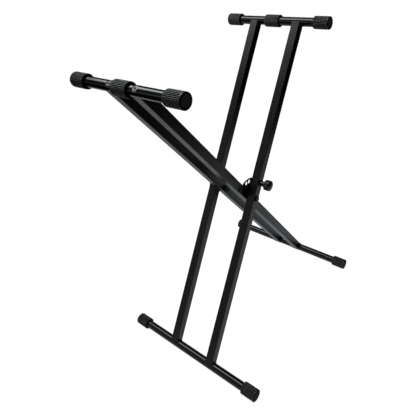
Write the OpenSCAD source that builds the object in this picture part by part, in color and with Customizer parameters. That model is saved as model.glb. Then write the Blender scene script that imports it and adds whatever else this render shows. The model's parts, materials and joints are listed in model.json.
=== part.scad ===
// Folding X stand for a keyboard, in millimetres, +Z up.
// Two frames of square tube cross at a pivot. Each frame has a round foot tube
// at its lower end and a round support bar with rubber grips at its upper end.
// The origin is on the floor, straight under the pivot.
// The outer frame leans to +X and the inner frame leans to -X.
// Near parts are on the -Y side and far parts on the +Y side.

/* [Legs] */
// Distance from the pivot to the axis of each support bar and foot tube
arm = 527.5; // [480:0.5:560]
// Angle between each leg and the floor, in degrees
lean = 56.1; // [52:0.1:59]
// Side of the square leg tube
tube = 25.4; // [22:0.1:30]
// Wall of the square leg tube
tube_wall = 1.2; // [1:0.1:2]
// Outer corner radius of the square leg tube
tube_corner = 1.4; // [1:0.1:3.5]
// Distance between the centres of the two outer legs
outer_spacing = 143.8; // [135:0.1:155]
// Gap between each outer leg and its inner leg
side_gap = 4.6; // [4.4:0.1:7]

/* [Support bars and feet] */
// Diameter of the round tube of bars and feet
round_d = 25.4; // [22:0.1:28]
// Wall of the round tube
round_wall = 1.5; // [1.2:0.1:2.5]
// Length of each support bar over its caps
bar_length = 345; // [320:1:380]
// Length of each foot over its caps
foot_length = 487; // [440:1:520]
// How far short of the tube axis a leg's end stops
end_back = 3; // [2.5:0.1:4]

/* [Rubber grips] */
// Outer diameter of the caps and sleeves
grip_d = 35.8; // [34:0.1:38]
// Length of a support bar cap
bar_cap_length = 46; // [36:1:56]
// Length of a foot cap
foot_cap_length = 45; // [36:1:56]
// Closed end of a cap
cap_end = 4; // [3:0.5:6]
// Rounding of a cap's closed edge
cap_edge = 2.2; // [1.5:0.1:3]
// Rounding of the open edges of caps and sleeves
open_edge = 0.8; // [0.4:0.1:1.2]
// Width of the rim that stands round a cap's end face
rim_width = 4.5; // [3.5:0.1:6]
// Depth of the end face below that rim
rim_depth = 0.8; // [0.4:0.1:1.2]
// Number of ribs round a cap or sleeve
rib_count = 30; // [24:2:36]
// Height of the ribs above the rubber between them
rib_height = 1.1; // [0.8:0.1:1.2]
// Radius of the round back of a rib
rib_round = 1.2; // [1:0.1:1.3]
// Smooth collar at a cap's closed end, beyond the ribs
collar_length = 3.6; // [2.4:0.1:6]
// Gap from the near inner leg to the middle sleeve between the inner legs
sleeve_near_gap = 9.9; // [2:0.1:12]
// Gap from that sleeve to the far inner leg
sleeve_far_gap = 0.8; // [0.5:0.1:2]
// Shift of the outer frame's sleeve from the middle, towards the far side
outer_sleeve_shift = 10; // [0:0.5:12]

/* [Bar screws] */
// Diameter of the screw that holds a bar on a leg
screw_d = 8; // [6:0.5:9]
// Diameter of the screw's countersunk head
head_d = 12.8; // [11.5:0.1:14]
// Straight rim of the head above its cone
head_rim = 0.7; // [0.4:0.1:1]
// Depth of the head below the top of the bar
head_sink = 1.4; // [1:0.1:2]
// Hexagon socket in the head, across flats
socket_width = 5; // [4:0.5:6]
// Depth of the hexagon socket
socket_depth = 2.6; // [2:0.1:3]
// Metal round the pressed dimple that holds the head
dimple_wall = 1.8; // [1.2:0.1:2.2]
// Length of the threaded block in the top of a leg
block_length = 14; // [10:1:18]
// Distance from the underside of the bar to that block
block_drop = 5; // [3:0.5:8]
// Length of screw that stands out below the block
screw_tail = 2; // [1:0.5:4]

/* [Pivot] */
// Diameter of the pivot bolts
pivot_d = 10; // [8:0.5:12]
// Wall of the bush that turns on the bolt in an inner leg
bush_wall = 2; // [1.5:0.1:3]
// Diameter of the bolt's low round head
pivot_head_d = 17.5; // [16:0.5:19]
// Height of that head
pivot_head_h = 5; // [4.5:0.1:7]
// Rounding of the head's rim
pivot_head_edge = 1.8; // [1:0.1:2.2]
// Hexagon socket in the pivot head, across flats
pivot_socket = 6; // [5:0.5:7]
// Depth of the socket in the pivot head
pivot_socket_depth = 3; // [2:0.1:3.5]
// Pivot nut, across flats
nut_width = 17; // [16:0.5:18]
// Height of the nut's hexagon
nut_h = 7.5; // [6:0.5:9]
// Diameter of the round locking collar on the nut
collar_d = 14; // [13:0.5:15]
// Height of that collar
collar_h = 2.8; // [2:0.1:4]
// Length of bolt that stands out of the nut
bolt_tail = 1.5; // [0.5:0.5:3]
// Diameter of the washer under the nut
washer_d = 21; // [19:0.5:23]
// Thickness of the washer under the nut
washer_t = 1.6; // [1:0.1:2.5]
// Diameter of the washers in the gaps between the legs
gap_washer_d = 23; // [20:0.5:24]

/* [Lock] */
// Radius of the lock disc
disc_r = 57.4; // [56:0.2:64]
// Thickness of the lock disc
disc_t = 2.5; // [2:0.1:3.5]
// Radius of the disc's foot round the pivot
disc_hub_r = 17; // [15:0.5:20]
// Distance from the pivot to the lock pin and the disc's holes
lock_r = 47.8; // [47:0.1:50]
// Angle from the position shown to the next higher one, in degrees
first_step = 21.7; // [19:0.1:23]
// Angle between any other two neighbouring positions, in degrees
step_angle = 16.4; // [15.6:0.1:17]
// Higher positions than the one shown
steps_up = 2; // [1:1:2]
// Lower positions than the one shown
steps_down = 2; // [1:1:2]
// Diameter of the disc's holes
hole_d = 12; // [11.8:0.1:12.4]
// Metal between the last hole and the end of the disc
disc_margin = 6; // [4:0.5:8]
// Gap between the rubber caps when the stand is folded flat
folded_gap = 4.4; // [3:0.1:8]
// Outer diameter of the pin's barrel
barrel_d = 16; // [15.5:0.1:18]
// Length of barrel inside the knob with the pin pulled out
barrel_lap = 4; // [2:0.1:5]
// End wall of the barrel that the spring rests on
barrel_end = 4; // [3:0.5:5]
// Diameter of the lock pin's nose
pin_d = 11.4; // [10:0.1:11.6]
// Length of the pin's nose
nose_length = 20; // [16:0.5:24]
// Chamfer on the tip of the nose
nose_chamfer = 1.2; // [0.5:0.1:1.5]
// Diameter of the rod between the nose and the knob
rod_d = 6; // [5:0.5:7]
// Wire of the lock spring, across the coil's wall
spring_wire = 1.4; // [1:0.1:1.8]
// Diameter of the knob
knob_d = 31.2; // [28:0.2:36]
// Front wall of the knob, which holds the rod
knob_front = 9.5; // [7:0.5:11]
// Length of rod held in the knob
rod_grip = 4.2; // [3:0.1:4.8]
// Rounding of the knob's front edge
knob_edge = 3; // [1:0.1:3.6]
// Height of the dome on the knob's front
knob_dome = 2.4; // [0.8:0.1:3]
// Width of the flat ring between that dome and the rounded edge
knob_rim = 0.6; // [0.4:0.1:1.5]
// Number of fine flutes round the knob
flute_count = 36; // [24:2:40]
// Radius of each flute
flute_r = 1; // [0.8:0.1:1.2]
// Depth of each flute
flute_depth = 0.5; // [0.2:0.1:0.6]
// Smooth band between the flutes and the knob's rounded edge
knob_band = 1.5; // [1:0.5:2.5]
// Gap from the leg's face to the back of the knob with the pin pulled out
knob_stand = 19.4; // [18:0.2:24]

/* [Hidden] */
$fn = 96;
// Clearance of a piece that turns or slides
running_gap = 0.05;
// Clearance of a piece that is seated
seat_gap = 0.1;
// Clearance on each side of a washer between moving faces
face_gap = 0.1;
// Gap between the end of the engaged pin and the inner leg
pin_stop_gap = 0.2;
// Gap round and behind the barrel in the hollow back of the knob
knob_gap = 0.4;
// Least radius inside a corner of the square tube
least_corner = 0.2;
// Overrun of every cut
over = 1;

half = tube / 2;
round_r = round_d / 2;
grip_r = grip_d / 2;
screw_r = screw_d / 2;
pivot_r = pivot_d / 2;
bush_r = pivot_r + running_gap + bush_wall;
barrel_r = barrel_d / 2;
pin_r = pin_d / 2;
rod_r = rod_d / 2;
knob_r = knob_d / 2;

tilt = 90 - lean;
pivot_height = arm * sin(lean) + grip_r;
inner_spacing = outer_spacing - 2 * (tube + side_gap);
leg_reach = arm - end_back;
inner_corner = max(tube_corner - tube_wall, least_corner);

// Faces along Y, all on the far side and mirrored for the near side
inner_face_in = inner_spacing / 2 - half;
inner_face_out = inner_spacing / 2 + half;
outer_face_in = outer_spacing / 2 - half;
outer_face_out = outer_spacing / 2 + half;

// Both middle sleeves have the length that fits between the inner legs
sleeve_length = 2 * inner_face_in - sleeve_near_gap - sleeve_far_gap;
inner_sleeve_shift = (sleeve_near_gap - sleeve_far_gap) / 2;

// Screw stack, measured up the leg from the pivot
head_top = arm + round_r - head_sink;
head_cone = head_d / 2 - screw_r;
head_base = head_top - head_rim - head_cone;
block_top = arm - round_r - block_drop;
block_base = block_top - block_length;
block_size = tube - 2 * tube_wall - 2 * running_gap;

// Lock angles, measured at the pivot from the inner leg to the outer leg
rest_angle = 2 * tilt;
folded_angle = 2 * asin((grip_d + folded_gap) / (2 * arm));
last_angle = rest_angle + steps_down * step_angle;
margin_angle = asin((hole_d / 2 + disc_margin) / lock_r);
disc_end_angle = last_angle + margin_angle;
hole_angles = concat(
    [folded_angle],
    [for (i = [0 : steps_up - 1]) rest_angle - first_step - i * step_angle],
    [for (i = [0 : steps_down]) rest_angle + i * step_angle]
);
pin_travel = side_gap - pin_stop_gap;
knob_back = outer_face_out + knob_stand;
barrel_tip = knob_back + barrel_lap;
knob_hollow = barrel_lap + pin_travel + knob_gap;
knob_t = knob_hollow + knob_front;
knob_shoulder = knob_t - knob_dome;
rod_tip = knob_back + knob_hollow + rod_grip;
nose_back = outer_face_in + nose_length;

// Frames: local Z runs up the leg from the pivot, local Y along the bars
module outer_frame() {
    translate([0, 0, pivot_height]) rotate([0, tilt, 0]) children();
}

module inner_frame() {
    translate([0, 0, pivot_height]) rotate([0, -tilt, 0]) children();
}

// Cylinder along Y that starts at a given place and has a given length
module along_y(r, start, length) {
    translate([0, start, 0]) rotate([-90, 0, 0]) cylinder(r = r, h = length);
}

// Tube profiles
module rounded_square(size, corner) {
    flat = size - 2 * corner;
    square([size, flat], center = true);
    square([flat, size], center = true);
    for (x = [-1, 1], y = [-1, 1])
        translate([x * flat / 2, y * flat / 2]) circle(r = corner);
}

module leg_profile() {
    difference() {
        rounded_square(tube, tube_corner);
        rounded_square(tube - 2 * tube_wall, inner_corner);
    }
}

// A leg with both ends cut to the round tubes and a hole through both walls
module leg(y, hole_r) {
    cope_r = round_r + seat_gap;
    translate([0, y, 0]) difference() {
        translate([0, 0, -leg_reach]) linear_extrude(2 * leg_reach) leg_profile();
        for (z = [-arm, arm])
            translate([0, 0, z]) along_y(cope_r, -half - over, tube + 2 * over);
        along_y(hole_r, -half - over, tube + 2 * over);
    }
}

module plain_tube(length) {
    difference() {
        along_y(round_r, -length / 2, length);
        along_y(round_r - round_wall, -length / 2 - over, length + 2 * over);
    }
}

// Foot tube at the lower end of a frame
module foot_tube() {
    translate([0, 0, -arm]) plain_tube(foot_length - 2 * cap_end);
}

// Pressed cup round a screw head, in the bar's own place
module dimple() {
    cup_depth = head_sink + head_rim + head_cone + dimple_wall;
    intersection() {
        along_y(round_r, -round_r, round_d);
        translate([0, 0, round_r - cup_depth])
            cylinder(h = cup_depth,
                     r1 = screw_r + dimple_wall,
                     r2 = screw_r + dimple_wall + cup_depth);
    }
}

// Space that the screw takes in the bar
module screw_seat() {
    hole_r = screw_r + seat_gap;
    cone_base = head_base - arm;
    cone_h = round_r - cone_base + over;
    translate([0, 0, cone_base]) cylinder(h = cone_h, r1 = hole_r, r2 = hole_r + cone_h);
    translate([0, 0, -round_r - over]) cylinder(h = round_r + cone_base + 2 * over, r = hole_r);
}

// Support bar at the upper end of a frame, screwed to its two legs
module support_bar(spacing) {
    translate([0, 0, arm]) difference() {
        union() {
            plain_tube(bar_length - 2 * cap_end);
            for (y = [-spacing, spacing] / 2) translate([0, y, 0]) dimple();
        }
        for (y = [-spacing, spacing] / 2) translate([0, y, 0]) screw_seat();
    }
}

module hexagon(width, height) {
    cylinder(h = height, d = width / cos(30), $fn = 6);
}

// Countersunk screws through a bar into its two legs
module bar_screws(spacing) {
    for (y = [-spacing, spacing] / 2) translate([0, y, 0]) difference() {
        union() {
            translate([0, 0, head_top - head_rim]) cylinder(h = head_rim, d = head_d);
            translate([0, 0, head_base]) cylinder(h = head_cone, r1 = screw_r, r2 = head_d / 2);
            translate([0, 0, block_base - screw_tail])
                cylinder(h = head_base - block_base + screw_tail, r = screw_r);
        }
        translate([0, 0, head_top - socket_depth]) hexagon(socket_width, socket_depth + over);
    }
}

// Threaded blocks held in the tops of two legs
module leg_blocks(spacing) {
    for (y = [-spacing, spacing] / 2) translate([0, y, block_base]) difference() {
        linear_extrude(block_length) rounded_square(block_size, inner_corner);
        translate([0, 0, -over]) cylinder(h = block_length + 2 * over, r = screw_r + running_gap);
    }
}

// Cross section of a ribbed grip, with a rib on the line of +X
module rib_profile() {
    circle(r = grip_r - rib_height);
    for (i = [0 : rib_count - 1])
        rotate(i * 360 / rib_count) translate([grip_r - rib_round, 0]) circle(r = rib_round, $fn = 24);
}

// What is cut away between the ribs, from below zero to a given end
module rib_gaps(end) {
    translate([0, 0, -over]) linear_extrude(end + over) difference() {
        circle(r = grip_r + over);
        rib_profile();
    }
}

// Outline of a grip from its axis out, with its two outer edges rounded
module grip_outline(length, first_edge, last_edge) {
    translate([0, first_edge]) square([grip_r, length - first_edge - last_edge]);
    square([grip_r - first_edge, length / 2]);
    translate([0, length / 2]) square([grip_r - last_edge, length / 2]);
    translate([grip_r - first_edge, first_edge]) circle(r = first_edge);
    translate([grip_r - last_edge, length - last_edge]) circle(r = last_edge);
}

// Ribbed rubber cap along +Z, open at zero
module cap(length) {
    difference() {
        rotate_extrude() grip_outline(length, open_edge, cap_edge);
        translate([0, 0, -over])
            cylinder(h = length - cap_end + over, r = round_r + seat_gap);
        translate([0, 0, length - rim_depth])
            cylinder(h = rim_depth + over, r = grip_r - rim_width);
        rib_gaps(length - collar_length);
    }
}

// Ribbed rubber sleeve along +Z, open at both ends
module sleeve(length) {
    difference() {
        rotate_extrude() grip_outline(length, open_edge, open_edge);
        translate([0, 0, -over])
            cylinder(h = length + 2 * over, r = round_r + seat_gap);
        rib_gaps(length + over);
    }
}

// Grips stand on the bar or foot at height z of a frame, with a rib straight up.
// The turn undoes the frame's tilt, and side is -1 for near and 1 for far.
module grip_place(z, turn, side, y) {
    translate([0, 0, z]) rotate([0, turn, 0]) mirror([0, side < 0 ? 1 : 0, 0])
        translate([0, y, 0]) rotate([-90, 0, 0]) rotate([0, 0, 90]) children();
}

module foot_cap(turn, side) {
    grip_place(-arm, turn, side, foot_length / 2 - foot_cap_length) cap(foot_cap_length);
}

module bar_cap(turn, side) {
    grip_place(arm, turn, side, bar_length / 2 - bar_cap_length) cap(bar_cap_length);
}

module bar_sleeve(turn, shift) {
    grip_place(arm, turn, 1, shift - sleeve_length / 2) sleeve(sleeve_length);
}

// Pivot pieces, built on the far side and mirrored to the near side
module both_sides() {
    for (side = [0, 1]) mirror([0, side, 0]) children();
}

module ring(outer_r, inner_r, start, length) {
    difference() {
        along_y(outer_r, start, length);
        along_y(inner_r, start - over, length + 2 * over);
    }
}

nut_start = inner_face_in - face_gap - washer_t;
nut_end = nut_start - nut_h - collar_h;

module pivot_bolt() {
    head_r = pivot_head_d / 2;
    start = nut_end - bolt_tail;
    along_y(pivot_r, start, outer_face_out - start);
    translate([0, outer_face_out, 0]) rotate([-90, 0, 0]) difference() {
        rotate_extrude() {
            square([head_r, pivot_head_h - pivot_head_edge]);
            square([head_r - pivot_head_edge, pivot_head_h]);
            translate([head_r - pivot_head_edge, pivot_head_h - pivot_head_edge])
                circle(r = pivot_head_edge);
        }
        translate([0, 0, pivot_head_h - pivot_socket_depth])
            hexagon(pivot_socket, pivot_socket_depth + over);
    }
}

module pivot_nut() {
    translate([0, nut_start, 0]) rotate([90, 0, 0]) difference() {
        union() {
            hexagon(nut_width, nut_h);
            translate([0, 0, nut_h]) cylinder(h = collar_h, d = collar_d);
        }
        translate([0, 0, -over])
            cylinder(h = nut_h + collar_h + 2 * over, r = pivot_r + running_gap);
    }
}

// Outline of the lock disc in the inner frame: x across the leg, y up the leg
module disc_outline() {
    reach = 2 * disc_r;
    difference() {
        union() {
            intersection() {
                circle(r = disc_r);
                polygon([
                    [-half, 0],
                    [-half, reach],
                    [reach, reach],
                    [reach, 0],
                    reach * [sin(disc_end_angle), cos(disc_end_angle)],
                    [0, 0]
                ]);
            }
            circle(r = disc_hub_r);
        }
        translate([-half - reach, -reach]) square([reach, 2 * reach]);
    }
}

// Pieces of the lock at their place up the outer leg, built for the near side
module lock_place() {
    outer_frame() translate([0, 0, lock_r]) mirror([0, 1, 0]) children();
}

// Outer frame
module outer_leg_near() {
    color("#2b2c2e") outer_frame() difference() {
        leg(-outer_spacing / 2, pivot_r + running_gap);
        translate([0, 0, lock_r])
            along_y(barrel_r + seat_gap, -outer_face_out - over, tube + 2 * over);
    }
}

module outer_leg_far() {
    color("#2b2c2e") outer_frame() leg(outer_spacing / 2, pivot_r + running_gap);
}

module outer_foot_tube() { color("#1d1e20") outer_frame() foot_tube(); }
module outer_foot_cap_near() { color("#26282a") outer_frame() foot_cap(-tilt, -1); }
module outer_foot_cap_far() { color("#26282a") outer_frame() foot_cap(-tilt, 1); }
module outer_bar_tube() { color("#1d1e20") outer_frame() support_bar(outer_spacing); }
module outer_bar_cap_near() { color("#26282a") outer_frame() bar_cap(-tilt, -1); }
module outer_bar_cap_far() { color("#26282a") outer_frame() bar_cap(-tilt, 1); }
module outer_bar_sleeve() { color("#26282a") outer_frame() bar_sleeve(-tilt, outer_sleeve_shift); }
module outer_bar_screws() { color("#3a3d40") outer_frame() bar_screws(outer_spacing); }
module outer_leg_blocks() { color("#8c9094") outer_frame() leg_blocks(outer_spacing); }

// Inner frame
module inner_leg_near() {
    color("#2b2c2e") inner_frame() leg(-inner_spacing / 2, bush_r + seat_gap);
}

module inner_leg_far() {
    color("#2b2c2e") inner_frame() leg(inner_spacing / 2, bush_r + seat_gap);
}

module inner_foot_tube() { color("#1d1e20") inner_frame() foot_tube(); }
module inner_foot_cap_near() { color("#26282a") inner_frame() foot_cap(tilt, -1); }
module inner_foot_cap_far() { color("#26282a") inner_frame() foot_cap(tilt, 1); }
module inner_bar_tube() { color("#1d1e20") inner_frame() support_bar(inner_spacing); }
module inner_bar_cap_near() { color("#26282a") inner_frame() bar_cap(tilt, -1); }
module inner_bar_cap_far() { color("#26282a") inner_frame() bar_cap(tilt, 1); }
module inner_bar_sleeve() { color("#26282a") inner_frame() bar_sleeve(tilt, inner_sleeve_shift); }
module inner_bar_screws() { color("#3a3d40") inner_frame() bar_screws(inner_spacing); }
module inner_leg_blocks() { color("#8c9094") inner_frame() leg_blocks(inner_spacing); }

// Pivot
module pivot_bolts() { color("#17181a") outer_frame() both_sides() pivot_bolt(); }
module pivot_nuts() { color("#3a3d40") outer_frame() both_sides() pivot_nut(); }

module pivot_nut_washers() {
    color("#17181a") outer_frame() both_sides()
        ring(washer_d / 2, pivot_r + seat_gap, inner_face_in - face_gap - washer_t, washer_t);
}

module pivot_bushes() {
    color("#202123") inner_frame() both_sides()
        ring(bush_r, pivot_r + running_gap, inner_face_in, tube);
}

// Thin washer between the lock disc and the near outer leg
module gap_washer() {
    start = inner_face_out + disc_t + face_gap;
    color("#202123") outer_frame() mirror([0, 1, 0])
        ring(gap_washer_d / 2, pivot_r + seat_gap, start, outer_face_in - start);
}

// Thick washer that fills the gap on the far side
module gap_spacer() {
    start = inner_face_out + face_gap;
    color("#202123") outer_frame()
        ring(gap_washer_d / 2, pivot_r + seat_gap, start, outer_face_in - start);
}

// Lock
module lock_disc() {
    color("#131415") inner_frame() translate([0, -inner_face_out, 0]) rotate([90, 0, 0])
        difference() {
            linear_extrude(disc_t) disc_outline();
            translate([0, 0, -over]) {
                cylinder(h = disc_t + 2 * over, r = pivot_r + seat_gap);
                for (a = hole_angles)
                    rotate([0, 0, -a]) translate([0, lock_r, 0])
                        cylinder(h = disc_t + 2 * over, d = hole_d);
            }
        }
}

module lock_barrel() {
    color("#131415") lock_place() difference() {
        along_y(barrel_r, outer_face_in, barrel_tip - outer_face_in);
        along_y(pin_r + running_gap, outer_face_in - over,
                barrel_tip - barrel_end - outer_face_in + over);
        along_y(rod_r + running_gap, barrel_tip - barrel_end - over, barrel_end + 2 * over);
    }
}

module lock_pin() {
    color("#9a9ea2") lock_place() {
        translate([0, outer_face_in, 0]) rotate([-90, 0, 0])
            cylinder(h = nose_chamfer, r1 = pin_r - nose_chamfer, r2 = pin_r);
        along_y(pin_r, outer_face_in + nose_chamfer, nose_length - nose_chamfer);
        along_y(rod_r, nose_back, rod_tip - nose_back);
    }
}

// Spring at its pressed length, as a plain sleeve
module lock_spring() {
    start = nose_back + face_gap;
    spring_r = pin_r - seat_gap;
    color("#9a9ea2") lock_place()
        ring(spring_r, spring_r - spring_wire, start, barrel_tip - barrel_end - face_gap - start);
}

// Half outline of the knob: x out from its axis, y away from the leg
module knob_outline() {
    flat_r = knob_r - knob_edge;
    dome_r = ((flat_r - knob_rim) ^ 2 + knob_dome ^ 2) / (2 * knob_dome);
    square([knob_r, knob_shoulder - knob_edge]);
    square([flat_r, knob_shoulder]);
    translate([flat_r, knob_shoulder - knob_edge]) circle(r = knob_edge);
    intersection() {
        translate([0, knob_t - dome_r]) circle(r = dome_r);
        square([flat_r, knob_t]);
    }
}

module lock_knob() {
    color("#101112") lock_place() translate([0, knob_back, 0]) rotate([-90, 0, 0]) difference() {
        rotate_extrude() knob_outline();
        translate([0, 0, -over])
            cylinder(h = knob_hollow + over, r = barrel_r + knob_gap);
        translate([0, 0, -over])
            cylinder(h = knob_hollow + rod_grip + over, r = rod_r + running_gap);
        for (i = [0 : flute_count - 1])
            rotate([0, 0, i * 360 / flute_count])
                translate([knob_r + flute_r - flute_depth, 0, -over])
                    cylinder(h = over + knob_shoulder - knob_edge - knob_band, r = flute_r, $fn = 24);
    }
}

outer_leg_near();
outer_leg_far();
outer_foot_tube();
outer_foot_cap_near();
outer_foot_cap_far();
outer_bar_tube();
outer_bar_cap_near();
outer_bar_cap_far();
outer_bar_sleeve();
outer_bar_screws();
outer_leg_blocks();
inner_leg_near();
inner_leg_far();
inner_foot_tube();
inner_foot_cap_near();
inner_foot_cap_far();
inner_bar_tube();
inner_bar_cap_near();
inner_bar_cap_far();
inner_bar_sleeve();
inner_bar_screws();
inner_leg_blocks();
pivot_bolts();
pivot_nuts();
pivot_nut_washers();
pivot_bushes();
gap_washer();
gap_spacer();
lock_disc();
lock_barrel();
lock_pin();
lock_spring();
lock_knob();
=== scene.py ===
import json
import math

import bmesh
import bpy
from mathutils import Matrix, Vector


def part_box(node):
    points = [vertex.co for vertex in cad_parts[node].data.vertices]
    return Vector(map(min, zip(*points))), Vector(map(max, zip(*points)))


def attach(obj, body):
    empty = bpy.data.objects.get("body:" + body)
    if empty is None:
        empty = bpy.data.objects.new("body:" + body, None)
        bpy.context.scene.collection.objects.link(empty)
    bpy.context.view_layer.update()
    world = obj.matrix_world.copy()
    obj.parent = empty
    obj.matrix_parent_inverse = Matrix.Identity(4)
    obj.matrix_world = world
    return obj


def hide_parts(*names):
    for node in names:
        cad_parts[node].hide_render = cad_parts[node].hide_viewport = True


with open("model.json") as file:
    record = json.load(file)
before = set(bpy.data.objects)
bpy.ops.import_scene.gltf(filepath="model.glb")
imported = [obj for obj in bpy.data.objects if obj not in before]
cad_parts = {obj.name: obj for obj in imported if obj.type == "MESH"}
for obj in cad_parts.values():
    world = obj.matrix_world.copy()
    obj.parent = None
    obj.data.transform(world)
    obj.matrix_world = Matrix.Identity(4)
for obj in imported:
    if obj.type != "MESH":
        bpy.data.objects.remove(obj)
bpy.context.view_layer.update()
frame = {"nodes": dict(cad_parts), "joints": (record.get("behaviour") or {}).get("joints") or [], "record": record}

nodes = frame["nodes"]
foldJoint = next(joint for joint in frame["joints"] if joint["name"] == "fold")
pivot = Vector(foldJoint["pos_m"])
print("frame loaded with", len(nodes), "nodes")


# Sizes read from the frame
def middle(nodeName):
    low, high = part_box(nodeName)
    return (Vector(low) + Vector(high)) / 2


def extent(nodeName):
    low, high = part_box(nodeName)
    return Vector(high) - Vector(low)


# A node's place seen along the bars, from the pivot
def fromPivot(nodeName):
    line = middle(nodeName) - pivot
    return Vector((line.x, line.z))


armLine = fromPivot("outer_bar_tube")
arm = armLine.length     # pivot to bar or foot axis
tilt = math.atan2(armLine.x, armLine.y)
tubeRadius = extent("outer_foot_tube").z / 2
legWidth = extent("outer_leg_near").y
gripRadius = extent("outer_foot_cap_near").z / 2
lockRadius = fromPivot("lock_barrel").length
barrelRadius = extent("lock_barrel").x / 2


# Local axes of a frame: x across its legs, y along the bars, z up the legs
def framePlace(side):
    return Matrix.Translation(pivot) @ Matrix.Rotation(side * tilt, 4, "Y")


framePlaces = {"outer": framePlace(1), "inner": framePlace(-1)}


# Helpers for shader nodes
def newMaterial(name):
    material = bpy.data.materials.new(name)
    material.use_nodes = True
    material.node_tree.nodes.clear()
    return material, material.node_tree


def addNode(tree, kind, **values):
    node = tree.nodes.new(kind)
    for key, value in values.items():
        setattr(node, key, value)
    return node


def feed(tree, value, socket):
    if isinstance(value, bpy.types.NodeSocket):
        tree.links.new(value, socket)
    else:
        socket.default_value = value


def calc(tree, operation, *values):
    node = addNode(tree, "ShaderNodeMath", operation=operation)
    for value, socket in zip(values, node.inputs):
        feed(tree, value, socket)
    return node.outputs["Value"]


def ramp(tree, value, fromLow, fromHigh, toLow=0, toHigh=1):
    node = addNode(tree, "ShaderNodeMapRange", interpolation_type="SMOOTHSTEP")
    feed(tree, value, node.inputs["Value"])
    node.inputs["From Min"].default_value = fromLow
    node.inputs["From Max"].default_value = fromHigh
    node.inputs["To Min"].default_value = toLow
    node.inputs["To Max"].default_value = toHigh
    return node.outputs["Result"]


def mixColor(tree, factor, first, second):
    node = addNode(tree, "ShaderNodeMix", data_type="RGBA")
    feed(tree, factor, node.inputs[0])
    feed(tree, first, node.inputs[6])       # the two colour sockets
    feed(tree, second, node.inputs[7])
    return node.outputs[2]


def noise(tree, place, scale, detail=2, roughness=0.5):
    node = addNode(tree, "ShaderNodeTexNoise")
    feed(tree, place, node.inputs["Vector"])
    feed(tree, scale, node.inputs["Scale"])
    node.inputs["Detail"].default_value = detail
    node.inputs["Roughness"].default_value = roughness
    return node.outputs["Fac"]


def objectPlace(tree, matrix=None):
    coords = addNode(tree, "ShaderNodeTexCoord")
    if matrix is None:
        return coords.outputs["Object"]
    # The mapping turns points of the stand into the local axes of a matrix
    inverse = matrix.inverted()
    mapping = addNode(tree, "ShaderNodeMapping")
    mapping.inputs["Location"].default_value = inverse.to_translation()
    mapping.inputs["Rotation"].default_value = inverse.to_euler()
    tree.links.new(coords.outputs["Object"], mapping.inputs["Vector"])
    return mapping.outputs["Vector"]


# Shader groups that several finishes share
def newGroup(name, inputs, outputs):
    tree = bpy.data.node_groups.new(name, "ShaderNodeTree")
    for label, kind, value in inputs:
        socket = tree.interface.new_socket(label, in_out="INPUT", socket_type=kind)
        if value is not None:
            socket.default_value = value
    for label in outputs:
        tree.interface.new_socket(label, in_out="OUTPUT", socket_type="NodeSocketFloat")
    source = addNode(tree, "NodeGroupInput")
    target = addNode(tree, "NodeGroupOutput")
    return tree, source.outputs, target.inputs


vectorKind = "NodeSocketVector"
valueKind = "NodeSocketFloat"


# Orange peel, slow patches and small nibs of a sprayed and baked coat
coatGrain = {"patchSpan": (0.32, 0.68), "nibShare": 0.4, "nibSpan": (0.05, 0.16)}


def makeCoatGrain(values):
    tree, given, wanted = newGroup(
        "coatGrain",
        [("Place", vectorKind, None), ("Grain Scale", valueKind, 700), ("Patch Scale", valueKind, 9)],
        ["Peel", "Patch", "Nibs"],
    )
    peel = noise(tree, given["Place"], given["Grain Scale"], detail=1.5)
    patch = noise(tree, given["Place"], given["Patch Scale"], detail=3, roughness=0.6)
    cells = addNode(tree, "ShaderNodeTexVoronoi")
    feed(tree, given["Place"], cells.inputs["Vector"])
    feed(tree, calc(tree, "MULTIPLY", given["Grain Scale"], values["nibShare"]), cells.inputs["Scale"])
    feed(tree, peel, wanted["Peel"])
    feed(tree, ramp(tree, patch, *values["patchSpan"]), wanted["Patch"])
    feed(tree, ramp(tree, cells.outputs["Distance"], *values["nibSpan"], 1, 0), wanted["Nibs"])
    return tree


# Rubbed edges: how far the rounded normal leaves the face, broken up by noise
edgeRub = {
    "bendSpan": (0.99, 0.8),    # cosine of the turn between the two normals
    "fineTimes": 9, "fineShare": 0.45, "broadShare": 0.55,
    "rubSpan": (0.3, 0.6), "chipSpan": (0.57, 0.62),
}


def makeEdgeRub(values):
    tree, given, wanted = newGroup(
        "edgeRub",
        [("Place", vectorKind, None), ("Width", valueKind, 0.0008), ("Break Scale", valueKind, 60)],
        ["Edge", "Chips"],
    )
    rounded = addNode(tree, "ShaderNodeBevel", samples=4)
    feed(tree, given["Width"], rounded.inputs["Radius"])
    geometry = addNode(tree, "ShaderNodeNewGeometry")
    dot = addNode(tree, "ShaderNodeVectorMath", operation="DOT_PRODUCT")
    feed(tree, rounded.outputs["Normal"], dot.inputs[0])
    feed(tree, geometry.outputs["Normal"], dot.inputs[1])
    edge = ramp(tree, dot.outputs["Value"], *values["bendSpan"])
    broad = noise(tree, given["Place"], given["Break Scale"], detail=3, roughness=0.6)
    fine = noise(tree, given["Place"], calc(tree, "MULTIPLY", given["Break Scale"], values["fineTimes"]))
    both = calc(tree, "MULTIPLY_ADD", fine, values["fineShare"],
                calc(tree, "MULTIPLY", broad, values["broadShare"]))
    feed(tree, calc(tree, "MULTIPLY", edge, ramp(tree, broad, *values["rubSpan"])), wanted["Edge"])
    feed(tree, calc(tree, "MULTIPLY", edge, ramp(tree, both, *values["chipSpan"])), wanted["Chips"])
    return tree


# Thin dust on what faces up, thicker in patches
settledDust = {
    "upwardSpan": (0.25, 0.95), "noiseSpan": (0.35, 0.7), "speckTimes": 40, "leastSpeck": 0.35,
}


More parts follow.
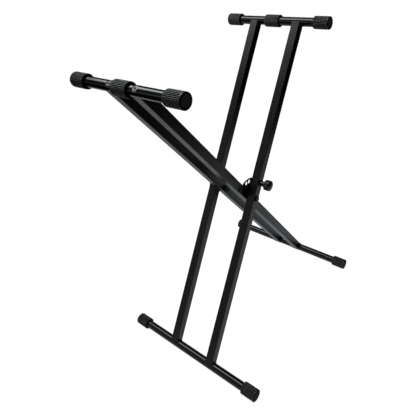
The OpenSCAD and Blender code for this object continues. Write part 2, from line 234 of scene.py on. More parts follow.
def makeSettledDust(values):
    tree, given, wanted = newGroup(
        "settledDust",
        [("Place", vectorKind, None), ("Patch Scale", valueKind, 30)],
        ["Dust"],
    )
    coords = addNode(tree, "ShaderNodeTexCoord")
    axes = addNode(tree, "ShaderNodeSeparateXYZ")
    feed(tree, coords.outputs["Normal"], axes.inputs["Vector"])
    upward = ramp(tree, axes.outputs["Z"], *values["upwardSpan"])
    broad = noise(tree, given["Place"], given["Patch Scale"], detail=4, roughness=0.65)
    patches = ramp(tree, broad, *values["noiseSpan"])
    fine = noise(tree, given["Place"], calc(tree, "MULTIPLY", given["Patch Scale"], values["speckTimes"]))
    specks = ramp(tree, fine, *values["noiseSpan"], values["leastSpeck"], 1)
    feed(tree, calc(tree, "MULTIPLY", upward, calc(tree, "MULTIPLY", patches, specks)), wanted["Dust"])
    return tree


# Fine hairline scratches in two directions, where a stretched noise passes one level
hairlines = {
    "directions": [
        {"turn": (0.3, 0.9, 0.5), "stretch": (1, 14, 14)},
        {"turn": (1.2, -0.4, 1.9), "stretch": (18, 1, 18)},
    ],
    "level": 0.5, "lineSpan": (0.004, 0.011), "sparseShare": 0.6, "sparseSpan": (0.5, 0.66),
}


def makeHairlines(values):
    tree, given, wanted = newGroup(
        "hairlines",
        [("Place", vectorKind, None), ("Scale", valueKind, 40), ("Amount", valueKind, 0.5)],
        ["Lines"],
    )
    total = None
    for direction in values["directions"]:
        mapping = addNode(tree, "ShaderNodeMapping")
        mapping.inputs["Rotation"].default_value = direction["turn"]
        mapping.inputs["Scale"].default_value = direction["stretch"]
        feed(tree, given["Place"], mapping.inputs["Vector"])
        field = noise(tree, mapping.outputs["Vector"], given["Scale"])
        away = calc(tree, "ABSOLUTE", calc(tree, "SUBTRACT", field, values["level"]))
        line = ramp(tree, away, *values["lineSpan"], 1, 0)
        total = line if total is None else calc(tree, "MAXIMUM", total, line)
    broad = noise(tree, given["Place"], calc(tree, "MULTIPLY", given["Scale"], values["sparseShare"]))
    sparse = ramp(tree, broad, *values["sparseSpan"])
    shown = calc(tree, "MULTIPLY", total, calc(tree, "MULTIPLY", sparse, given["Amount"]))
    feed(tree, shown, wanted["Lines"])
    return tree


# Rings round the local Z axis, as a lathe or a turning neighbour leaves them
def makeTurnedRings():
    tree, given, wanted = newGroup(
        "turnedRings",
        [("Place", vectorKind, None), ("Ring Scale", valueKind, 2500)],
        ["Rings", "Radius"],
    )
    axes = addNode(tree, "ShaderNodeSeparateXYZ")
    feed(tree, given["Place"], axes.inputs["Vector"])
    squares = calc(tree, "MULTIPLY_ADD", axes.outputs["X"], axes.outputs["X"],
                   calc(tree, "MULTIPLY", axes.outputs["Y"], axes.outputs["Y"]))
    radius = calc(tree, "SQRT", squares)
    alongRadius = addNode(tree, "ShaderNodeCombineXYZ")
    feed(tree, radius, alongRadius.inputs["X"])
    feed(tree, axes.outputs["Z"], alongRadius.inputs["Y"])
    rings = noise(tree, alongRadius.outputs["Vector"], given["Ring Scale"])
    feed(tree, rings, wanted["Rings"])
    feed(tree, radius, wanted["Radius"])
    return tree


groups = {
    "coatGrain": makeCoatGrain(coatGrain),
    "edgeRub": makeEdgeRub(edgeRub),
    "settledDust": makeSettledDust(settledDust),
    "hairlines": makeHairlines(hairlines),
    "turnedRings": makeTurnedRings(),
}


def useGroup(tree, name, **values):
    node = addNode(tree, "ShaderNodeGroup", node_tree=groups[name])
    for key, value in values.items():
        feed(tree, value, node.inputs[key.replace("_", " ")])
    return node.outputs


# Bump from several heights, each a socket and its depth in metres
def bumpFrom(tree, *layers):
    normal = None
    for height, depth in layers:
        bump = addNode(tree, "ShaderNodeBump")
        bump.inputs["Distance"].default_value = depth
        feed(tree, height, bump.inputs["Height"])
        if normal is not None:
            feed(tree, normal, bump.inputs["Normal"])
        normal = bump.outputs["Normal"]
    return normal


def finishMaterial(tree, color, roughness, normal, **fixed):
    output = addNode(tree, "ShaderNodeOutputMaterial")
    shader = addNode(tree, "ShaderNodeBsdfPrincipled")
    feed(tree, color, shader.inputs["Base Color"])
    feed(tree, roughness, shader.inputs["Roughness"])
    feed(tree, normal, shader.inputs["Normal"])
    for key, value in fixed.items():
        feed(tree, value, shader.inputs[key.replace("_", " ")])
    tree.links.new(shader.outputs["BSDF"], output.inputs["Surface"])
    return shader


print("shader groups made")


# Camera, placed from the pivot as the photograph was taken
cameraView = {
    "place": (-0.7719, -0.6739, 0.7045),
    "heading": 0.72,    # radians from +X towards +Y
    "pitch": -0.5311,
    "roll": 0.1311,
    "lens": 35.0,
    "sensor": 36,
    "shift": (-0.0505, -0.1094),
}


def makeCamera(view):
    heading, pitch, roll = view["heading"], view["pitch"], view["roll"]
    forward = Vector((
        math.cos(heading) * math.cos(pitch),
        math.sin(heading) * math.cos(pitch),
        math.sin(pitch),
    ))
    level = Vector((math.sin(heading), -math.cos(heading), 0))
    drop = forward.cross(level)
    right = math.cos(roll) * level + math.sin(roll) * drop
    down = math.cos(roll) * drop - math.sin(roll) * level
    data = bpy.data.cameras.new("photoCamera")
    data.lens = view["lens"]
    data.sensor_width = view["sensor"]
    data.shift_x, data.shift_y = view["shift"]
    camera = bpy.data.objects.new("photoCamera", data)
    turn = Matrix((right, -down, -forward)).transposed().to_4x4()
    camera.matrix_world = Matrix.Translation(pivot + Vector(view["place"])) @ turn
    bpy.context.scene.collection.objects.link(camera)
    bpy.context.scene.camera = camera


makeCamera(cameraView)
bpy.context.scene.view_settings.view_transform = "Standard"
print("camera placed")


# Studio: a white table, soft boxes and a dim room
studio = {
    "floorSize": 60,
    "floorColor": (0.9, 0.9, 0.9, 1),
    "leftTint": (1, 0.9, 0.86, 1),
    "rightTint": (0.93, 1, 1.04, 1),
    "tintSpan": (-0.6, 0.4),
    "tableGlow": 0.54,      # brightness of the table in reflections
    "tableRadius": 0.75,    # full brightness up to here
    "tableFade": 1.5,       # dark beyond here
    "leftShare": 1.7,       # the table reaches less far towards -X
    "backShare": 0.5,       # and further towards +Y
    "shadowShare": 0.25,    # how much of the floor's own shading shows
    "cameraGlow": 1.3,      # keeps the open floor pure white
    "cameraColor": (1, 1, 1, 1),
    "roomColor": (0.96, 1, 1.025, 1),
    "roomGlow": 0.03,       # brightness of the walls
    "ceilingGlow": 0.26,
    "ceilingSpan": (0.65, 0.85),    # how far up a ray points
    "lampTint": (0.925, 0.985, 1),
    "sideGlow": 0.27,       # low pale wall towards -X
    "sideColor": (1, 0.86, 0.81, 1),
    "sideTop": (0.2, 0.45),
    "sideSpan": (-0.75, -0.45),
    "lamps": [
        {"name": "topBox", "place": (-0.05, 0.85, 2.3), "aim": (0, 0.1, 0.5),
         "size": (1.1, 2.0), "watts": 11.5},
        {"name": "topCore", "place": (-0.05, 0.85, 2.05), "aim": (0, 0.1, 0.5),
         "size": (0.5, 1.1), "watts": 6.4},
        {"name": "sideBox", "place": (-2.4, 1.6, 1.9), "aim": (0, 0, 0.6),
         "size": (1.4, 1.4), "watts": 1.5},
    ],
}


def makeLamp(lamp, tint):
    data = bpy.data.lights.new(lamp["name"], "AREA")
    data.shape = "RECTANGLE"
    data.size, data.size_y = lamp["size"]
    data.energy = lamp["watts"]
    data.color = tint
    light = bpy.data.objects.new(lamp["name"], data)
    aim = Vector(lamp["aim"]) - Vector(lamp["place"])
    light.rotation_euler = aim.to_track_quat("-Z", "Y").to_euler()
    light.location = lamp["place"]
    bpy.context.scene.collection.objects.link(light)


def makeFloor(values):
    material, tree = newMaterial("whiteTable")
    output = addNode(tree, "ShaderNodeOutputMaterial")
    diffuse = addNode(tree, "ShaderNodeBsdfDiffuse")
    diffuse.inputs["Color"].default_value = values["floorColor"]
    glow = addNode(tree, "ShaderNodeEmission")
    axes = addNode(tree, "ShaderNodeSeparateXYZ")
    feed(tree, objectPlace(tree), axes.inputs["Vector"])
    x, y = axes.outputs["X"], axes.outputs["Y"]
    across = calc(tree, "MAXIMUM", x, calc(tree, "MULTIPLY", x, -values["leftShare"]))
    along = calc(tree, "MAXIMUM", calc(tree, "MULTIPLY", y, -1),
                 calc(tree, "MULTIPLY", y, values["backShare"]))
    length = calc(tree, "SQRT", calc(tree, "MULTIPLY_ADD", across, across,
                                     calc(tree, "MULTIPLY", along, along)))
    fade = ramp(tree, length, values["tableRadius"], values["tableFade"], values["tableGlow"], 0)
    rays = addNode(tree, "ShaderNodeLightPath").outputs
    mirrored = calc(tree, "MAXIMUM", rays["Is Glossy Ray"], rays["Is Transmission Ray"])
    seen = calc(tree, "MULTIPLY", rays["Is Camera Ray"], values["cameraGlow"])
    tint = mixColor(tree, ramp(tree, x, *values["tintSpan"]),
                    values["leftTint"], values["rightTint"])
    tint = mixColor(tree, rays["Is Camera Ray"], tint, values["cameraColor"])
    feed(tree, tint, glow.inputs["Color"])
    feed(tree, calc(tree, "MULTIPLY_ADD", fade, mirrored, seen), glow.inputs["Strength"])
    # Camera and glossy rays see the white table, other rays its diffuse light
    mix = addNode(tree, "ShaderNodeMixShader")
    share = calc(tree, "MAXIMUM", mirrored,
                 calc(tree, "MULTIPLY", rays["Is Camera Ray"], 1 - values["shadowShare"]))
    feed(tree, share, mix.inputs[0])
    feed(tree, diffuse.outputs["BSDF"], mix.inputs[1])
    feed(tree, glow.outputs["Emission"], mix.inputs[2])
    feed(tree, mix.outputs["Shader"], output.inputs["Surface"])
    bpy.ops.mesh.primitive_plane_add(size=values["floorSize"])
    floor = bpy.context.object
    floor.name = "floor"
    floor.data.materials.append(material)


def makeWorld(values):
    world = bpy.data.worlds.new("room")
    world.use_nodes = True
    tree = world.node_tree
    tree.nodes.clear()
    output = addNode(tree, "ShaderNodeOutputWorld")
    background = addNode(tree, "ShaderNodeBackground")
    rays = addNode(tree, "ShaderNodeLightPath").outputs
    coords = addNode(tree, "ShaderNodeTexCoord")
    axes = addNode(tree, "ShaderNodeSeparateXYZ")
    feed(tree, coords.outputs["Generated"], axes.inputs["Vector"])
    upward = axes.outputs["Z"]
    ceiling = ramp(tree, upward, *values["ceilingSpan"], values["roomGlow"], values["ceilingGlow"])
    low = ramp(tree, upward, *values["sideTop"], 1, 0)
    wall = calc(tree, "MULTIPLY", low, ramp(tree, axes.outputs["X"], *values["sideSpan"], 1, 0))
    glow = calc(tree, "MULTIPLY_ADD", wall, values["sideGlow"], ceiling)
    level = calc(tree, "MAXIMUM", rays["Is Camera Ray"], glow)
    color = mixColor(tree, wall, values["roomColor"], values["sideColor"])
    color = mixColor(tree, rays["Is Camera Ray"], color, values["cameraColor"])
    feed(tree, color, background.inputs["Color"])
    feed(tree, level, background.inputs["Strength"])
    feed(tree, background.outputs["Background"], output.inputs["Surface"])
    bpy.context.scene.world = world


for lamp in studio["lamps"]:
    makeLamp(lamp, studio["lampTint"])
makeFloor(studio)
makeWorld(studio)
print("studio made")


# Powder coat on legs, tubes, disc and barrel, the same build with other values
coats = {
    "legPaint": {
        "deepColor": (0.0042, 0.0043, 0.0046, 1), "paleColor": (0.0072, 0.0073, 0.0077, 1),
        "primerColor": (0.075, 0.075, 0.078, 1), "dustColor": (0.16, 0.155, 0.148, 1),
        "dustShare": 0.035, "chipShare": 0.3,
        "roughness": 0.31, "patchRoughness": 0.07, "rubRoughness": -0.08, "lineRoughness": 0.12,
        "grainScale": 620, "patchScale": 7, "edgeWidth": 0.0011,
        "peelDepth": 0.00003, "nibDepth": 0.00004, "lineAmount": 0.45,
    },
    "barPaint": {
        "deepColor": (0.0035, 0.0036, 0.0038, 1), "paleColor": (0.006, 0.0061, 0.0064, 1),
        "primerColor": (0.07, 0.07, 0.073, 1), "dustColor": (0.16, 0.155, 0.148, 1),
        "dustShare": 0.03, "chipShare": 0.2,
        "roughness": 0.13, "patchRoughness": 0.04, "rubRoughness": -0.03, "lineRoughness": 0.14,
        "scuffColor": (0.3, 0.3, 0.31, 1), "scuffRadius": 0.0083, "scuffWidth": 0.0008,
        "scuffBreak": 330, "scuffSpan": (0.38, 0.5),
        "grainScale": 760, "patchScale": 11, "edgeWidth": 0.0008,
        "peelDepth": 0.000018, "nibDepth": 0.00003, "lineAmount": 0.7,
    },
    "discPaint": {
        "deepColor": (0.0028, 0.0028, 0.003, 1), "paleColor": (0.0052, 0.0053, 0.0055, 1),
        "primerColor": (0.16, 0.16, 0.165, 1), "dustColor": (0.15, 0.146, 0.14, 1),
        "dustShare": 0.02, "chipShare": 0.35,
        "roughness": 0.26, "patchRoughness": 0.06, "rubRoughness": -0.06, "lineRoughness": 0.14,
        "grainScale": 800, "patchScale": 24, "edgeWidth": 0.0006,
        "peelDepth": 0.000014, "nibDepth": 0.00002, "lineAmount": 0.6,
    },
    "barrelPaint": {
        "deepColor": (0.0028, 0.0028, 0.003, 1), "paleColor": (0.0052, 0.0053, 0.0055, 1),
        "primerColor": (0.16, 0.16, 0.165, 1), "dustColor": (0.15, 0.146, 0.14, 1),
        "dustShare": 0.02, "chipShare": 0.35,
        "roughness": 0.1, "patchRoughness": 0.04, "rubRoughness": -0.02, "lineRoughness": 0.1,
        "grainScale": 800, "patchScale": 24, "edgeWidth": 0.0006,
        "peelDepth": 0.000008, "nibDepth": 0.00001, "lineAmount": 0.5,
    },
}


# Distance from the axes of a frame's two screws, and height along them
def screwDistance(tree, local, spacing):
    axes = addNode(tree, "ShaderNodeSeparateXYZ")
    feed(tree, local, axes.inputs["Vector"])
    along = calc(tree, "SUBTRACT", calc(tree, "ABSOLUTE", axes.outputs["Y"]), spacing / 2)
    away = calc(tree, "SQRT", calc(tree, "MULTIPLY_ADD", along, along,
                                   calc(tree, "MULTIPLY", axes.outputs["X"], axes.outputs["X"])))
    return away, axes.outputs["Z"]


# Bare metal at the mouth of the dimples that hold the screw heads
def screwScuff(tree, values, place, spacing):
    local = objectPlace(tree, place)
    away, height = screwDistance(tree, local, spacing)
    offRing = calc(tree, "ABSOLUTE", calc(tree, "SUBTRACT", away, values["scuffRadius"]))
    ring = ramp(tree, offRing, values["scuffWidth"] / 2, values["scuffWidth"], 1, 0)
    broken = ramp(tree, noise(tree, local, values["scuffBreak"]), *values["scuffSpan"])
    above = calc(tree, "GREATER_THAN", height, arm)
    return calc(tree, "MULTIPLY", calc(tree, "MULTIPLY", ring, broken), above)


def makeCoat(name, values, screwPlace=None, spacing=0):
    material, tree = newMaterial(name)
    place = objectPlace(tree)
    grain = useGroup(tree, "coatGrain", Place=place, Grain_Scale=values["grainScale"],
                     Patch_Scale=values["patchScale"])
    rub = useGroup(tree, "edgeRub", Place=place, Width=values["edgeWidth"])
    dust = useGroup(tree, "settledDust", Place=place)["Dust"]
    lines = useGroup(tree, "hairlines", Place=place, Amount=values["lineAmount"])["Lines"]
    color = mixColor(tree, grain["Patch"], values["deepColor"], values["paleColor"])
    color = mixColor(tree, calc(tree, "MULTIPLY", rub["Chips"], values["chipShare"]),
                     color, values["primerColor"])
    color = mixColor(tree, calc(tree, "MULTIPLY", dust, values["dustShare"]), color, values["dustColor"])
    roughness = calc(tree, "MULTIPLY_ADD", grain["Patch"], values["patchRoughness"], values["roughness"])
    roughness = calc(tree, "MULTIPLY_ADD", rub["Edge"], values["rubRoughness"], roughness)
    roughness = calc(tree, "MULTIPLY_ADD", lines, values["lineRoughness"], roughness)
    normal = bumpFrom(tree, (grain["Peel"], values["peelDepth"]), (grain["Nibs"], values["nibDepth"]))
    shader = finishMaterial(tree, color, roughness, normal)
    if screwPlace is not None:
        scuff = screwScuff(tree, values, screwPlace, spacing)
        feed(tree, mixColor(tree, scuff, color, values["scuffColor"]), shader.inputs["Base Color"])
        feed(tree, scuff, shader.inputs["Metallic"])
    return material


# Ribbed rubber round each tube's axis: the rubber's own colour on crests and closed ends, painted shade in the
# grooves and on the end's rim
rubber = {
    # the groove colour is painted shade, for the grooves and the end's rim
    "paintedGrooveShade": (0.003, 0.003, 0.0032, 1), "crestColor": (0.035, 0.035, 0.0352, 1),
    "paleColor": (0.044, 0.0438, 0.0438, 1), "dustColor": (0.2, 0.195, 0.185, 1),
    "dustShare": 0.03, "crestDepth": 0.0006, "crestFade": 0.0001,
    "collar": 0.0036, "rimDepth": 0.0008, "rimWidth": 0.0045,
    "grooveRoughness": 0.8, "crestRoughness": 0.42, "patchRoughness": 0.07, "coatRoughness": 0.32,
    "coatShare": 0.75, "specularLevel": 0.3, "grainScale": 1500, "patchScale": 45,
    "peelDepth": 0.000018, "pitDepth": 0.000012,
}


# Crests and closed ends keep the rubber's colour, the grooves and the end's rim get painted shade, and only crests
# shine
def rubberShadeAndCrest(tree, place, values, tubeEnd):
    axis = middle(tubeEnd + "_tube")
    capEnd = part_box(tubeEnd + "_cap_far")[1][1]
    axes = addNode(tree, "ShaderNodeSeparateXYZ")
    feed(tree, place, axes.inputs["Vector"])
    across = calc(tree, "SUBTRACT", axes.outputs["X"], axis.x)
    upward = calc(tree, "SUBTRACT", axes.outputs["Z"], axis.z)
    radius = calc(tree, "SQRT", calc(tree, "MULTIPLY_ADD", across, across,
                                     calc(tree, "MULTIPLY", upward, upward)))
    crest = ramp(tree, radius, gripRadius - values["crestDepth"], gripRadius - values["crestFade"])
    along = calc(tree, "ABSOLUTE", axes.outputs["Y"])
    collarStart = capEnd - values["collar"]
    closedEnd = ramp(tree, along, collarStart, collarStart + values["rimDepth"])
    rimFace = capEnd - values["rimDepth"]
    rimStart = gripRadius - values["rimWidth"]
    # painted shade on the outer ring of the closed end
    paintedRimShade = calc(tree, "MULTIPLY",
               ramp(tree, along, rimFace - values["rimDepth"], rimFace),
               ramp(tree, radius, rimStart, rimStart + values["crestFade"]))
    inside = calc(tree, "SUBTRACT", 1, paintedRimShade)
    pale = calc(tree, "MULTIPLY", calc(tree, "MAXIMUM", crest, closedEnd), inside)
    return pale, calc(tree, "MULTIPLY", crest, inside)


def makeRubber(values, tubeEnd):
    material, tree = newMaterial(tubeEnd + "_rubber")
    place = objectPlace(tree)
    pale, crest = rubberShadeAndCrest(tree, place, values, tubeEnd)
    grain = useGroup(tree, "coatGrain", Place=place, Grain_Scale=values["grainScale"],
                     Patch_Scale=values["patchScale"])
    dust = useGroup(tree, "settledDust", Place=place)["Dust"]
    rubberTone = mixColor(tree, grain["Patch"], values["crestColor"], values["paleColor"])
    # painted shade: grooves and the end's rim take the near-black groove colour
    color = mixColor(tree, pale, values["paintedGrooveShade"], rubberTone)
    color = mixColor(tree, calc(tree, "MULTIPLY", dust, values["dustShare"]), color, values["dustColor"])
    roughness = ramp(tree, crest, 0, 1, values["grooveRoughness"], values["crestRoughness"])
    roughness = calc(tree, "MULTIPLY_ADD", grain["Patch"], values["patchRoughness"], roughness)
    normal = bumpFrom(tree, (grain["Peel"], values["peelDepth"]), (grain["Nibs"], -values["pitDepth"]))
    finishMaterial(tree, color, roughness, normal, Specular_IOR_Level=values["specularLevel"],
                   Coat_Weight=calc(tree, "MULTIPLY", crest, values["coatShare"]),
                   Coat_Roughness=values["coatRoughness"])
    return material


# Fasteners: black oxide with its rims rubbed, dull washers, and bright turned steel
metals = {
    "blackSteel": {
        "deepColor": (0.02, 0.02, 0.0205, 1), "paleColor": (0.05, 0.05, 0.051, 1),
        "rubbedColor": (0.36, 0.36, 0.37, 1), "rubShare": 0.65, "metallic": 0.85,
        "roughness": 0.26, "patchRoughness": 0.1, "ringRoughness": 0.08,
        "edgeWidth": 0.0006, "ringDepth": 0.000006,
    },
    "washerSteel": {
        "deepColor": (0.11, 0.112, 0.115, 1), "paleColor": (0.16, 0.163, 0.166, 1),
        "rubbedColor": (0.4, 0.4, 0.41, 1), "rubShare": 0.5, "metallic": 0.85,
        "roughness": 0.5, "patchRoughness": 0.08, "ringRoughness": 0.06,
        "edgeWidth": 0.0004, "ringDepth": 0.000006,
    },
    "screwSteel": {
        "deepColor": (0.1, 0.1, 0.103, 1), "paleColor": (0.18, 0.18, 0.184, 1),
        "rubbedColor": (0.5, 0.5, 0.51, 1), "rubShare": 0.7, "metallic": 1,
        "socketShadeColor": (0.004, 0.004, 0.004, 1), "socketRadius": 0.0029, "socketFade": 0.00029,
        "roughness": 0.24, "patchRoughness": 0.1, "ringRoughness": 0.08,
        "edgeWidth": 0.0004, "ringDepth": 0.000006,
    },
    "plainSteel": {
        "deepColor": (0.42, 0.42, 0.43, 1), "paleColor": (0.56, 0.56, 0.575, 1),
        "rubbedColor": (0.7, 0.7, 0.71, 1), "rubShare": 0.4, "metallic": 1,
        "roughness": 0.2, "patchRoughness": 0.1, "ringRoughness": 0.1,
        "edgeWidth": 0.0004, "ringDepth": 0.000008,
    },
}
metalScales = {"patch": 90, "break": 220}    # of the noises that all metals share


def makeMetal(name, values, turnPlace, spacing=None):
    material, tree = newMaterial(name)
    place = objectPlace(tree)
    patch = useGroup(tree, "coatGrain", Place=place, Patch_Scale=metalScales["patch"])["Patch"]
    edge = useGroup(tree, "edgeRub", Place=place, Width=values["edgeWidth"],
                    Break_Scale=metalScales["break"])["Edge"]
    rings = useGroup(tree, "turnedRings", Place=objectPlace(tree, turnPlace))["Rings"]
    color = mixColor(tree, patch, values["deepColor"], values["paleColor"])
    color = mixColor(tree, calc(tree, "MULTIPLY", edge, values["rubShare"]), color, values["rubbedColor"])
    roughness = calc(tree, "MULTIPLY_ADD", patch, values["patchRoughness"], values["roughness"])
    roughness = calc(tree, "MULTIPLY_ADD", rings, values["ringRoughness"], roughness)
    normal = bumpFrom(tree, (rings, values["ringDepth"]))
    if spacing is not None:    # painted shade in the screws' sockets
        away = screwDistance(tree, objectPlace(tree, turnPlace), spacing)[0]
        socketStart = values["socketRadius"] - values["socketFade"]
        inside = ramp(tree, away, socketStart, values["socketRadius"], 1, 0)
        color = mixColor(tree, inside, color, values["socketShadeColor"])
    finishMaterial(tree, color, roughness, normal, Metallic=values["metallic"])
    return material


# Moulded plastics: matt nylon and the glossy knob
plastics = {
    "nylon": {
        "deepColor": (0.012, 0.012, 0.0125, 1), "paleColor": (0.022, 0.022, 0.023, 1),
        "roughness": 0.48, "patchRoughness": 0.1, "grainScale": 1800, "patchScale": 80,
        "peelDepth": 0.00002, "lineAmount": 0.3, "lineRoughness": 0.1, "lineScale": 90,
        "dustColor": (0.16, 0.155, 0.15, 1), "dustShare": 0.02, "specularLevel": 0.5,
    },
    "knobPlastic": {
        "deepColor": (0.003, 0.003, 0.0032, 1), "paleColor": (0.0045, 0.0045, 0.0047, 1),
        "roughness": 0.1, "patchRoughness": 0.05, "grainScale": 500, "patchScale": 60,
        "peelDepth": 0.000006, "lineAmount": 0.8, "lineRoughness": 0.16, "lineScale": 90,
        "dustColor": (0.16, 0.155, 0.15, 1), "dustShare": 0.02, "specularLevel": 0.34,
        "faceRadius": 0.0118, "faceFade": 0.0006, "faceRoughness": 0.06,
    },
}


def makePlastic(name, values):
    material, tree = newMaterial(name)
    place = objectPlace(tree)
    grain = useGroup(tree, "coatGrain", Place=place, Grain_Scale=values["grainScale"],
                     Patch_Scale=values["patchScale"])
    dust = useGroup(tree, "settledDust", Place=place)["Dust"]
    lines = useGroup(tree, "hairlines", Place=place, Scale=values["lineScale"],
                     Amount=values["lineAmount"])["Lines"]
    color = mixColor(tree, grain["Patch"], values["deepColor"], values["paleColor"])
    color = mixColor(tree, calc(tree, "MULTIPLY", dust, values["dustShare"]), color, values["dustColor"])
    roughness = calc(tree, "MULTIPLY_ADD", grain["Patch"], values["patchRoughness"], values["roughness"])
    roughness = calc(tree, "MULTIPLY_ADD", lines, values["lineRoughness"], roughness)
    if "faceRadius" in values:    # the knob's domed face is a little duller
        knobAxis = Matrix.Translation(middle("lock_knob")) @ Matrix.Rotation(math.radians(90), 4, "X")
        turned = useGroup(tree, "turnedRings", Place=objectPlace(tree, knobAxis))
        faceEnd = values["faceRadius"] + values["faceFade"]
        face = ramp(tree, turned["Radius"], values["faceRadius"], faceEnd, 1, 0)
        roughness = calc(tree, "MULTIPLY_ADD", face, values["faceRoughness"], roughness)
    normal = bumpFrom(tree, (grain["Peel"], values["peelDepth"]))
    finishMaterial(tree, color, roughness, normal, Specular_IOR_Level=values["specularLevel"])
    return material


alongBars = Matrix.Translation(pivot) @ Matrix.Rotation(math.radians(90), 4, "X")
barCoats, screwSteels = {}, {}
for frameName, place in framePlaces.items():
    spacing = middle(frameName + "_leg_far").y - middle(frameName + "_leg_near").y
    barCoats[frameName] = makeCoat(frameName + "BarPaint", coats["barPaint"], place, spacing)
    screwSteels[frameName] = makeMetal(frameName + "ScrewSteel", metals["screwSteel"], place, spacing)
finishes = {
    "leg_paint": makeCoat("legPaint", coats["legPaint"]),
    "disc_paint": makeCoat("discPaint", coats["discPaint"]),
    "barrel_paint": makeCoat("barrelPaint", coats["barrelPaint"]),
    "black_steel": makeMetal("blackSteel", metals["blackSteel"], alongBars),
    "plain_steel": makeMetal("plainSteel", metals["plainSteel"], alongBars),
    "washer_steel": makeMetal("washerSteel", metals["washerSteel"], alongBars),
    "nylon": makePlastic("nylon", plastics["nylon"]),
    "knob_plastic": makePlastic("knobPlastic", plastics["knobPlastic"]),
}
rubbers = {
    tubeEnd: makeRubber(rubber, tubeEnd)
    for tubeEnd in ("outer_foot", "outer_bar", "inner_foot", "inner_bar")
}
# Pieces whose finish isn't their slot's
ownFinishes = {"pivot_nut_washers": "washer_steel", "lock_barrel": "barrel_paint"}


def finishOf(part):
    words = part["node"].split("_")
    if part["material_slot"] == "grip_rubber":
        return rubbers["_".join(words[:2])]
    if part["material_slot"] == "bar_paint":
        return barCoats[words[0]]
    if part["node"].endswith("bar_screws"):
        return screwSteels[words[0]]
    return finishes[ownFinishes.get(part["node"], part["material_slot"])]


for part in frame["record"]["subparts"]:
    node = nodes[part["node"]]
    node.data.materials.clear()
    node.data.materials.append(finishOf(part))
print("finishes set")


mergeDistance = 0.000001    # joins a bead's doubled points


# A round bead along a line of points, each with its own radius
def makeBead(name, points, radii, closed, body, slot, sides):
    data = bpy.data.curves.new(name + "Line", "CURVE")
    data.dimensions = "3D"
    data.bevel_depth = 1
    data.bevel_resolution = sides // 2 - 2
    data.use_fill_caps = not closed
    line = data.splines.new("POLY")
    line.points.add(len(points) - 1)
    line.use_cyclic_u = closed
    for point, place, radius in zip(line.points, points, radii):
        point.co = (*place, 1)
        point.radius = radius
    source = bpy.data.objects.new(name + "Line", data)
    bpy.context.scene.collection.objects.link(source)
    bpy.context.view_layer.update()
    shape = bpy.data.meshes.new_from_object(source.evaluated_get(bpy.context.evaluated_depsgraph_get()))
    bpy.data.objects.remove(source)
    mesh = bmesh.new()
    mesh.from_mesh(shape)
    bmesh.ops.remove_doubles(mesh, verts=mesh.verts, dist=mergeDistance)
    bmesh.ops.recalc_face_normals(mesh, faces=mesh.faces)
    for face in mesh.faces:
        face.smooth = True
    mesh.to_mesh(shape)
    mesh.free()
    shape.materials.clear()
    shape.materials.append(finishes[slot])
    piece = bpy.data.objects.new(name, shape)
    bpy.context.scene.collection.objects.link(piece)
    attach(piece, body)
    return piece


# Welds: beads that swell and narrow with each ripple along the line
weld = {
    "sideRadius": 0.0019, "edgeRadius": 0.001, "ringRadius": 0.0016, "stitchRadius": 0.0014,
    "rippleLength": 0.0024, "rippleShare": 0.13, "step": 0.0003, "sides": 8,
    "corner": 0.0014, "standOff": 0.0005,
    "leastRise": 0.003,     # of a leg's weld over its tube's axis
    "stitchStarts": (0.02, 0.038), "stitchLength": 0.012,
    "stitchTaper": 0.35,    # less makes blunter ends
}


def rippled(radius, travel):
    return radius * (1 + weld["rippleShare"] * math.sin(math.tau * travel / weld["rippleLength"]))


# Points round a square with round corners, with the way each faces
def squarePath(halfWidth, corner, step):
    path = []
    flat = halfWidth - corner
    for quarter in range(4):
        turn = Matrix.Rotation(quarter * math.pi / 2, 2)
        flatCount = round(2 * flat / step)
        for i in range(flatCount):
            spot = Vector((halfWidth, -flat + 2 * flat * i / flatCount))
            path.append((turn @ spot, turn @ Vector((1, 0))))
        cornerCount = round(corner * math.pi / 2 / step)
        for i in range(cornerCount):
            angle = math.pi / 2 * i / cornerCount
            facing = Vector((math.cos(angle), math.sin(angle)))
            path.append((turn @ (Vector((flat, flat)) + corner * facing), turn @ facing))
    return path


def makeFootWeld(name, place, legName, body):
    centre = middle(legName).y
    outerHalf = legWidth / 2 + weld["standOff"]
    weldRadius = tubeRadius + weld["standOff"]
    points, radii = [], []
    for spot, facing in squarePath(outerHalf, weld["corner"] + weld["standOff"], weld["step"]):
        rise = math.sqrt(max(weldRadius ** 2 - spot.x ** 2, weld["leastRise"] ** 2))
        points.append(place @ Vector((spot.x, centre + spot.y, rise - arm)))
        plain = weld["edgeRadius"] + (weld["sideRadius"] - weld["edgeRadius"]) * abs(facing.y)
        radii.append(rippled(plain, len(points) * weld["step"]))
    makeBead(name, points, radii, True, body, "leg_paint", weld["sides"])


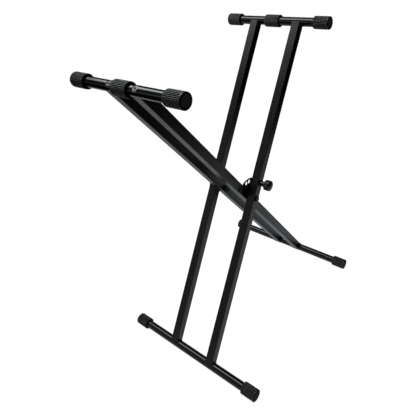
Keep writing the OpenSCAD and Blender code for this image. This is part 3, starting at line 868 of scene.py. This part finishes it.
def makeBarrelWeld():
    radius = barrelRadius + weld["standOff"]
    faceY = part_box("outer_leg_near")[0][1] - weld["standOff"]
    count = round(math.tau * radius / weld["step"])
    points, radii = [], []
    for i in range(count):
        angle = math.tau * i / count
        spot = Vector((radius * math.cos(angle), faceY, lockRadius + radius * math.sin(angle)))
        points.append(framePlaces["outer"] @ spot)
        radii.append(rippled(weld["ringRadius"], i * weld["step"]))
    makeBead("barrel_weld", points, radii, True, "outer_frame", "disc_paint", weld["sides"])


def makeDiscStitch(name, start):
    count = round(weld["stitchLength"] / weld["step"])
    across = legWidth / 2 + weld["standOff"]
    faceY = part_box("inner_leg_near")[0][1] + weld["standOff"]
    points, radii = [], []
    for i in range(count + 1):
        points.append(framePlaces["inner"] @ Vector((across, faceY, start + i * weld["step"])))
        taper = math.sin(math.pi * (i + 1) / (count + 2)) ** weld["stitchTaper"]
        radii.append(rippled(weld["stitchRadius"], i * weld["step"]) * taper)
    makeBead(name, points, radii, False, "inner_frame", "disc_paint", weld["sides"])


for frameName, place in framePlaces.items():
    for side in ("near", "far"):
        legName = f"{frameName}_leg_{side}"
        makeFootWeld(f"{frameName}_foot_weld_{side}", place, legName, frameName + "_frame")
makeBarrelWeld()
for number, start in enumerate(weld["stitchStarts"], 1):
    makeDiscStitch(f"disc_weld_{number}", start)
print("welds made")


# Lock spring: a wound wire in the barrel, with one closed turn at each end
spring = {"wire": 0.0014, "coils": 8, "steps": 28, "sides": 10}


def makeSpring(values):
    low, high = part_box("lock_spring")
    middleLine = middle("lock_spring")
    wire = values["wire"]
    reach = (high[0] - low[0]) / 2 - wire / 2
    openTurns = values["coils"] - 2
    openLength = high[1] - low[1] - 3 * wire    # between the closed turns
    points = []
    for i in range(values["coils"] * values["steps"] + 1):
        turns = i / values["steps"]
        closedTurns = min(turns, 1) + max(turns - 1 - openTurns, 0)
        openShare = min(max(turns - 1, 0), openTurns) / openTurns
        angle = math.tau * turns
        points.append(Vector((
            middleLine.x + reach * math.cos(angle),
            low[1] + wire / 2 + closedTurns * wire + openShare * openLength,
            middleLine.z + reach * math.sin(angle),
        )))
    piece = makeBead("lock_spring_coil", points, [wire / 2] * len(points), False,
                     "outer_frame", "plain_steel", values["sides"])
    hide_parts("lock_spring")


makeSpring(spring)
print("spring wound")
